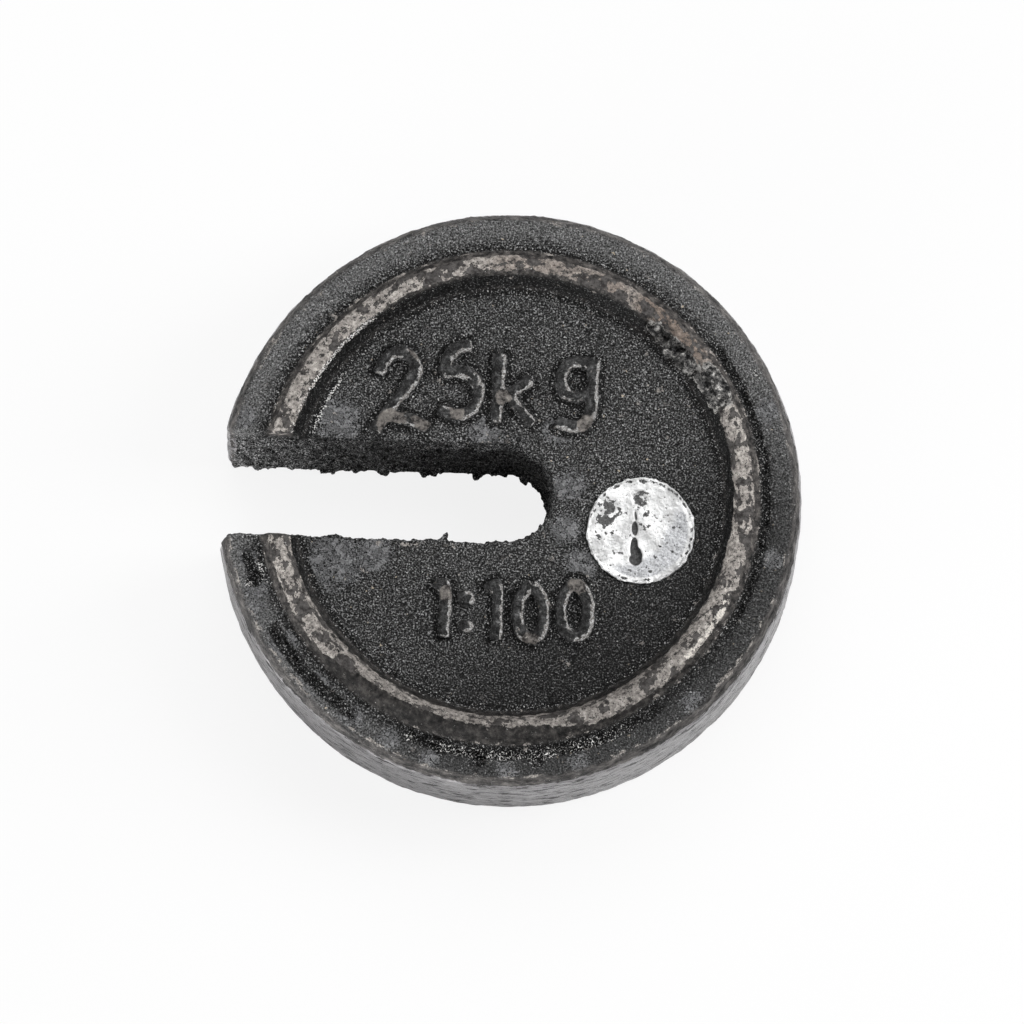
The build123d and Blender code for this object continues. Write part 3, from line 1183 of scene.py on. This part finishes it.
def iron_finish():
    iron = Finish("black_iron")
    around = iron.around()
    grain = iron.noise(0.16, detail=2.0, roughness=0.65)
    coarse = iron.noise(0.6, detail=5.0, roughness=0.7)
    blotch = iron.noise(1.5, detail=6.0, roughness=0.72)
    cloud = iron.noise(5.0, detail=3.0)
    smear = iron.noise(0.5, detail=4.0, roughness=0.7, place=around, stretch=(1, 3, 1))

    # sand grain with painted shade in its pits and painted glints on its grains
    face, light = sand_grain_and_glints(iron, grain, coarse)
    # thick paint patches, whose grey is a painted sheen
    spread = iron.math("ADD", iron.painted("smooth_patch_sheen"), iron.math("MULTIPLY", iron.math("SUBTRACT", blotch, 0.5), 2.4))
    patch = iron.above(spread, grain, 2.6, 0.32, 0.92)
    face = iron.mix(patch, face, flaked_paint_sheen(iron, light))
    # slot walls: painted shade in the pits and painted glints on the grains
    face = iron.mix(iron.painted("slot_wall_glints"), face, core_sand_and_glints(iron, grain, coarse))
    # painted shade, black, with a few painted glints
    shade_grain = iron.ramp(
        grain,
        (0.45, BLACK),
        (0.53, grey(0.012)),
        (0.60, grey(0.06)),
        (0.66, grey(0.35)),
        (0.72, grey(0.9)),
    )
    face = iron.mix(iron.above(iron.painted("crevice_shade"), blotch, 1.1, 0.3, 0.62), face, shade_grain)
    face = painted_marks(iron, face, grain, coarse, blotch)

    band = iron.math("MULTIPLY", iron.painted("edge_band"), 0.85)
    banded_paint = iron.ramp(smear, (0.36, grey(0.012)), (0.5, (0.072, 0.067, 0.065)), (0.66, (0.19, 0.178, 0.168)))
    face = iron.mix(band, face, banded_paint)
    on_ring = iron.painted("ring")
    flank = iron.ramp(coarse, (0.36, (0.010, 0.010, 0.010)), (0.50, (0.054, 0.050, 0.048)), (0.66, (0.160, 0.148, 0.138)))
    # painted shade on the ring's near side
    flank = iron.mix(iron.painted("dim"), flank, BLACK)
    # painted shade on the ring's inner flank
    inside = iron.ramp(grain, (0.45, BLACK), (0.60, grey(0.02)), (0.70, grey(0.2)))
    flank = iron.mix(iron.painted("flank_inside_shade"), flank, inside)
    face = iron.mix(on_ring, face, flank)

    # bare metal on the crest, and a painted highlight along the ring's outer foot
    bare = iron.above(iron.painted("worn_and_foot_highlight"), blotch, 3.4, 0.48, 0.56)
    metal = bare_metal(iron, grain, around)
    # painted shade on the bare metal of the ring's near side
    metal = iron.mix(iron.math("MULTIPLY", iron.painted("dim"), 0.45), metal, WARM_BLACK)
    face = iron.mix(bare, face, metal)
    # painted highlight on a stretch of the crest
    shine = iron.math("MULTIPLY", iron.above(iron.painted("crest_highlight"), coarse, 4.0, 0.78, 0.92), bare)
    face = iron.mix(shine, face, iron.mix(iron.between(grain, 0.36, 0.60), WARM_LIGHT, (0.78, 0.74, 0.68)))
    ragged = iron.math("ADD", iron.painted("crumbled"), iron.math("MULTIPLY", iron.math("SUBTRACT", blotch, 0.5), 2.0))
    face = iron.mix(iron.between(ragged, 0.40, 0.48), face, crumbled_iron(iron, grain, coarse))
    rim = iron.between(iron.math("ABSOLUTE", iron.math("SUBTRACT", ragged, 0.46)), 0.09, 0.03)
    rim = iron.math("MULTIPLY", rim, iron.between(coarse, 0.44, 0.52))
    face = iron.mix(rim, face, (0.36, 0.35, 0.335))
    chip = iron.mix(iron.between(grain, 0.4, 0.6), WARM_GREY, WARM_LIGHT)
    face = iron.mix(iron.above(iron.painted("chipped"), smear, 3.0, 0.66, 0.76), face, chip)
    face = iron.mix(iron.above(iron.painted("rim_chips"), coarse, 2.8, 0.66, 0.80), face, chip)
    side_colour, score, shine = rubbed_side(iron, around)
    side = iron.above(iron.painted("ground"), smear, 0.9, 0.38, 0.62)
    face = iron.mix(side, face, side_colour)
    colour = iron.mix(iron.above(iron.painted("glint"), grain, 3.2, 0.72, 0.85), face, (0.86, 0.85, 0.83))

    smooth = iron.math("MAXIMUM", iron.math("MAXIMUM", on_ring, band), side)
    normal = iron.bump(iron.math("MULTIPLY", grain, iron.blend(smooth, 1.0, 0.2)), 0.20)
    normal = iron.bump(coarse, 0.22, normal)
    normal = iron.bump(iron.math("MULTIPLY", score, side), 0.10, normal)

    iron.set(iron.shader, "Base Color", colour)
    iron.set(iron.shader, "Metallic", side)
    iron.set(iron.shader, "Roughness", iron.blend(side, 0.45, 0.34))
    iron.set(iron.shader, "Coat Weight", iron.math("MULTIPLY", side, shine))
    iron.set(iron.shader, "Coat Roughness", 0.3)
    iron.set(iron.shader, "Coat Normal", normal)
    iron.set(iron.shader, "Normal", normal)
    iron.set(iron.shader, "Specular IOR Level", 0.12)
    return iron.material


def wear_finish(piece, material):
    piece.data.materials.clear()
    piece.data.materials.append(material)


wear_finish(casting, iron_finish())

# %% [markdown]
# ### Bright soft metal
#
# The plug is nearly white where the hammer burnished it, grey in the crater and the chisel
# cut, and spotted with dirt on one side.

# %% Plug finish
def plug_finish():
    metal = Finish("hammered_metal")
    fine = metal.noise(0.22, detail=3.0, roughness=0.7)
    spots = metal.noise(0.62, detail=3.0, roughness=0.6)
    cloud = metal.noise(1.8, detail=4.0, roughness=0.6)
    tone = metal.ramp(cloud, (0.36, grey(0.50)), (0.50, grey(0.74)), (0.64, grey(0.88)))
    # grey towards the face's right and near edges
    crescent_grey = metal.mix(metal.between(fine, 0.36, 0.62), (0.34, 0.345, 0.36), (0.56, 0.565, 0.58))
    tone = metal.mix(metal.above(metal.painted("crescent"), cloud, 1.6, 0.30, 1.0), tone, crescent_grey)
    tone = metal.mix(metal.between(fine, 0.37, 0.33), tone, grey(0.10))
    dirt_and_dark_cuts = metal.above(metal.painted("dirt"), spots, 4.2, 0.64, 0.70)
    # the floor of the chisel cuts, painted darker
    dirt_and_dark_cuts = metal.math("MAXIMUM", dirt_and_dark_cuts, metal.above(metal.painted("cut_floor"), fine, 0.8, 0.45, 0.55))
    colour = metal.mix(dirt_and_dark_cuts, tone, metal.ramp(fine, (0.35, grey(0.03)), (0.50, grey(0.075)), (0.70, grey(0.14))))
    # painted shade in the gap just inside the lip
    gap = metal.above(metal.painted("lip_gap_shade"), spots, 3.4, 0.62, 0.72)
    colour = metal.mix(gap, colour, metal.ramp(fine, (0.42, grey(0.01)), (0.58, grey(0.12)), (0.70, grey(0.5))))
    rough = metal.math("MAXIMUM", dirt_and_dark_cuts, gap)
    metal.set(metal.shader, "Base Color", colour)
    metal.set(metal.shader, "Metallic", metal.blend(rough, 0.55, 0.1))
    metal.set(metal.shader, "Roughness", metal.blend(rough, 0.42, 0.6))
    normal = metal.bump(fine, 0.05)
    normal = metal.bump(cloud, 0.10, normal)
    metal.set(metal.shader, "Normal", normal)
    return metal.material


DIRT_SPOTS = [
    (9.4, -0.4, 0.75, 1.1, 0.98),
    (9.1, -1.7, 1.05, 0.9, 0.92),
    (10.2, -0.9, 0.9, 0.5, 0.80),
    (9.1, -3.2, 0.9, 0.7, 0.45),
    (13.3, -1.2, 0.8, 1.1, 0.42),
    (12.9, -2.2, 0.7, 0.5, 0.45),
    (10.6, -4.9, 0.6, 0.25, 0.45),
    (13.1, -6.2, 0.9, 0.6, 0.40),
    (15.3, -2.9, 0.9, 1.8, 0.34),
]


def dirt(point, normal):
    """Dirt in a few spots, and in the crater."""
    best = crater_floor(point) * 0.5
    for x, y, half_wide, half_long, share in DIRT_SPOTS:
        away = math.hypot((point.x / MM - x) / half_wide, (point.y / MM - y) / half_long)
        best = max(best, fade(away, 1.3, 0.5) * share)
    return best


def cut_floor(point, normal):
    """The bottom of the chisel cuts, which is painted darker."""
    away = math.hypot(point.x - PLUG_PLACE.x, point.y - PLUG_PLACE.y)
    return fade(point.z, FIELD + 0.10 * MM, FIELD - 0.04 * MM) * fade(away, 4.6 * MM, 4.4 * MM)


def lip_gap_shade(point, normal):
    """Painted shade in a gap just inside the lip, open mostly on its far and right sides."""
    x, y = point.x - PLUG_PLACE.x, point.y - PLUG_PLACE.y
    groove = fade(abs(math.hypot(x, y) - 4.80 * MM), 0.22 * MM, 0.06 * MM)
    return groove * (0.42 + 0.28 * fade(x + y, -1 * MM, 4 * MM))


def crescent(point, normal):
    """The face darkens softly towards its right and near edges."""
    x, y = point.x - PLUG_PLACE.x, point.y - PLUG_PLACE.y
    inside = fade(math.hypot(x, y), 4.7 * MM, 4.3 * MM)
    return fade(math.hypot(x + 1.6 * MM, y - 1.0 * MM), 3.4 * MM, 4.8 * MM) * fade(x - y, -1 * MM, 3 * MM) * inside


paint(plug, "cut_floor", cut_floor)
paint(plug, "lip_gap_shade", lip_gap_shade)
paint(plug, "crescent", crescent)
paint(plug, "dirt", dirt)
wear_finish(plug, plug_finish())

# %% [markdown]
# ### Dull lead
#
# The shot can't be seen, but it is there, so it has its own finish: dull blue-grey, in
# blotches from darker to lighter.

# %% Shot finish
def shot_finish():
    lead = Finish("dull_lead")
    skin = lead.noise(0.5, detail=3.0)
    colour = lead.ramp(skin, (0.3, (0.09, 0.095, 0.11)), (0.55, (0.16, 0.165, 0.18)), (0.8, (0.3, 0.305, 0.32)))
    lead.set(lead.shader, "Base Color", colour)
    lead.set(lead.shader, "Metallic", 0.7)
    lead.set(lead.shader, "Roughness", lead.blend(skin, 0.45, 0.7))
    lead.set(lead.shader, "Normal", lead.bump(skin, 0.05))
    return lead.material


wear_finish(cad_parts["adjusting_shot"], shot_finish())

# %% [markdown]
# ## Each piece on its body
#
# The dressed casting and plug stand for their plain solids. Nothing moves, so both ride on
# the one body.

# %% Ride and replace
for piece, node, finish in (
    (casting, "weight_casting", "painted_iron"),
    (plug, "sealing_plug", "plug_metal"),
):
    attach(piece, "root")
    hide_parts(node)

# %% [markdown]
# ## Floor and light
#
# The floor is white to the camera because of Light Path, and keeps a soft shadow. A large soft
# lamp stands at the upper right, and a weaker one low in front lights the side of the disc.

# %% Floor
def add_floor():
    bpy.ops.mesh.primitive_plane_add(size=4, location=(0, 0, -0.0002))
    floor = bpy.context.object
    floor.name = "floor"
    white = Finish("floor_white")
    white.set(white.shader, "Base Color", (0.82, 0.82, 0.82, 1))
    white.set(white.shader, "Roughness", 0.9)
    white.set(white.shader, "Specular IOR Level", 0.0)
    seen = white.add("LightPath").outputs["Is Camera Ray"]
    glow = white.add("Emission", Color=(1, 1, 1, 1), Strength=1.0)
    blend = white.add("MixShader", Fac=white.math("MULTIPLY", seen, 0.85))
    output = white.tree.nodes["Material Output"]
    white.tree.links.new(white.shader.outputs[0], blend.inputs[1])
    white.tree.links.new(glow.outputs[0], blend.inputs[2])
    white.tree.links.new(blend.outputs[0], output.inputs["Surface"])
    wear_finish(floor, white.material)
    return floor


floor = add_floor()

# %% Lamps and world
def add_lamp(name, place, size, watts, target=(0, 0, 0.01)):
    """A soft oblong lamp, placed and aimed in metres."""
    bpy.ops.object.light_add(type="AREA", location=place)
    lamp = bpy.context.object
    lamp.name = name
    lamp.data.shape = "RECTANGLE"
    lamp.data.size, lamp.data.size_y = size
    lamp.data.energy = watts
    lamp.rotation_euler = (Vector(place) - Vector(target)).to_track_quat("Z", "Y").to_euler()
    return lamp


add_lamp("right", (0.40, 0.08, 0.30), size=(0.22, 0.45), watts=1.9)
add_lamp("back", (0.04, 0.42, 0.60), size=(0.60, 0.50), watts=2.6)
add_lamp("front", (-0.32, -0.38, 0.07), size=(0.55, 0.16), watts=3.3)

world = bpy.data.worlds.new("studio")
world.use_nodes = True
world.node_tree.nodes["Background"].inputs["Color"].default_value = (1, 1, 1, 1)
world.node_tree.nodes["Background"].inputs["Strength"].default_value = 0.3
bpy.context.scene.world = world
bpy.context.scene.view_settings.view_transform = "Standard"
